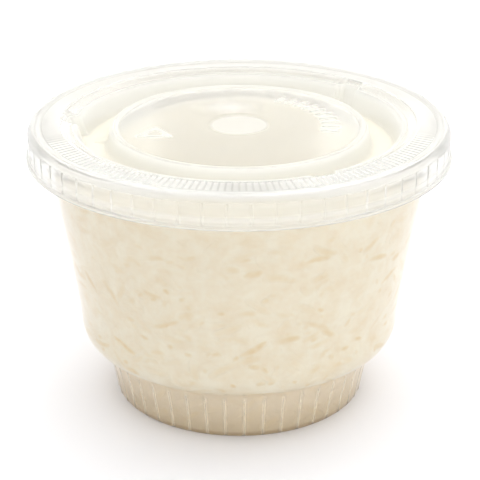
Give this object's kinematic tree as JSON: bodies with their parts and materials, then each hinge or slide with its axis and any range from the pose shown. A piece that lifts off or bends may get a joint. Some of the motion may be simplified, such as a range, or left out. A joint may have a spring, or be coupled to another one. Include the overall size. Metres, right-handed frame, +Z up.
{
  "type": "rice pudding in a lidded cup",
  "caption": "Single serving of rice pudding in a clear round footed cup with a shallow press-on lid, filled almost to the lid, with grains showing through the wall.",
  "frame": {"origin": "centre of the circle that the cup's foot stands on", "axes": "+Z up through the lid; -Y is the front, +X to the right seen from the front"},
  "size_m": [0.0948, 0.0948, 0.0649],
  "materials": {
    "clear_cup": "clear thin-walled plastic, glossy, upright ribs in the foot",
    "frosted_lid": "milky translucent plastic, formed and glossy",
    "pudding": "set cream with soft cooked rice grains, moist, satin"
  },
  "bodies": {
    "root": {"cup": "clear_cup", "lid": "frosted_lid", "rice_pudding": "pudding"}
  },
  "joints": []
}
